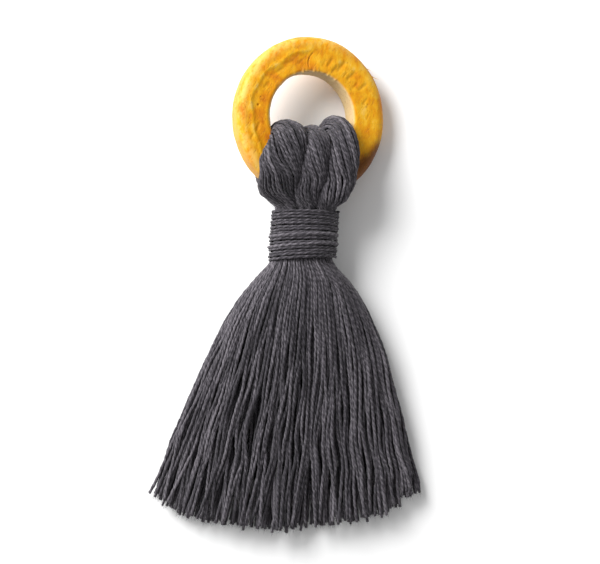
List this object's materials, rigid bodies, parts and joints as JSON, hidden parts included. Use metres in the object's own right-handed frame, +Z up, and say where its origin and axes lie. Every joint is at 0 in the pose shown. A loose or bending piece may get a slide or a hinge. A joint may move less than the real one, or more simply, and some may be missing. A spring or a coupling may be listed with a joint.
{
  "type": "tassel",
  "caption": "Charcoal cotton yarn tassel lying on its back: a hank folded over a flat wooden ring, bound at the neck, with its cut ends fanned out below.",
  "frame": {"origin": "centre of the bounding box's base, on the surface that the tassel lies on", "axes": "+Y along the tassel from the cut ends to the ring, +Z up from the surface through its front, +X to the right as seen from the front with the ring at the top"},
  "size_m": [0.0564, 0.104, 0.0167],
  "materials": {
    "wood": "golden varnished wood, hand cut, satin",
    "yarn": "matt charcoal cotton yarn",
    "wrap_yarn": "matt charcoal cotton yarn, wound"
  },
  "bodies": {
    "root": {"ring": "wood", "hank": "yarn", "neck_wrap": "wrap_yarn"}
  },
  "joints": []
}
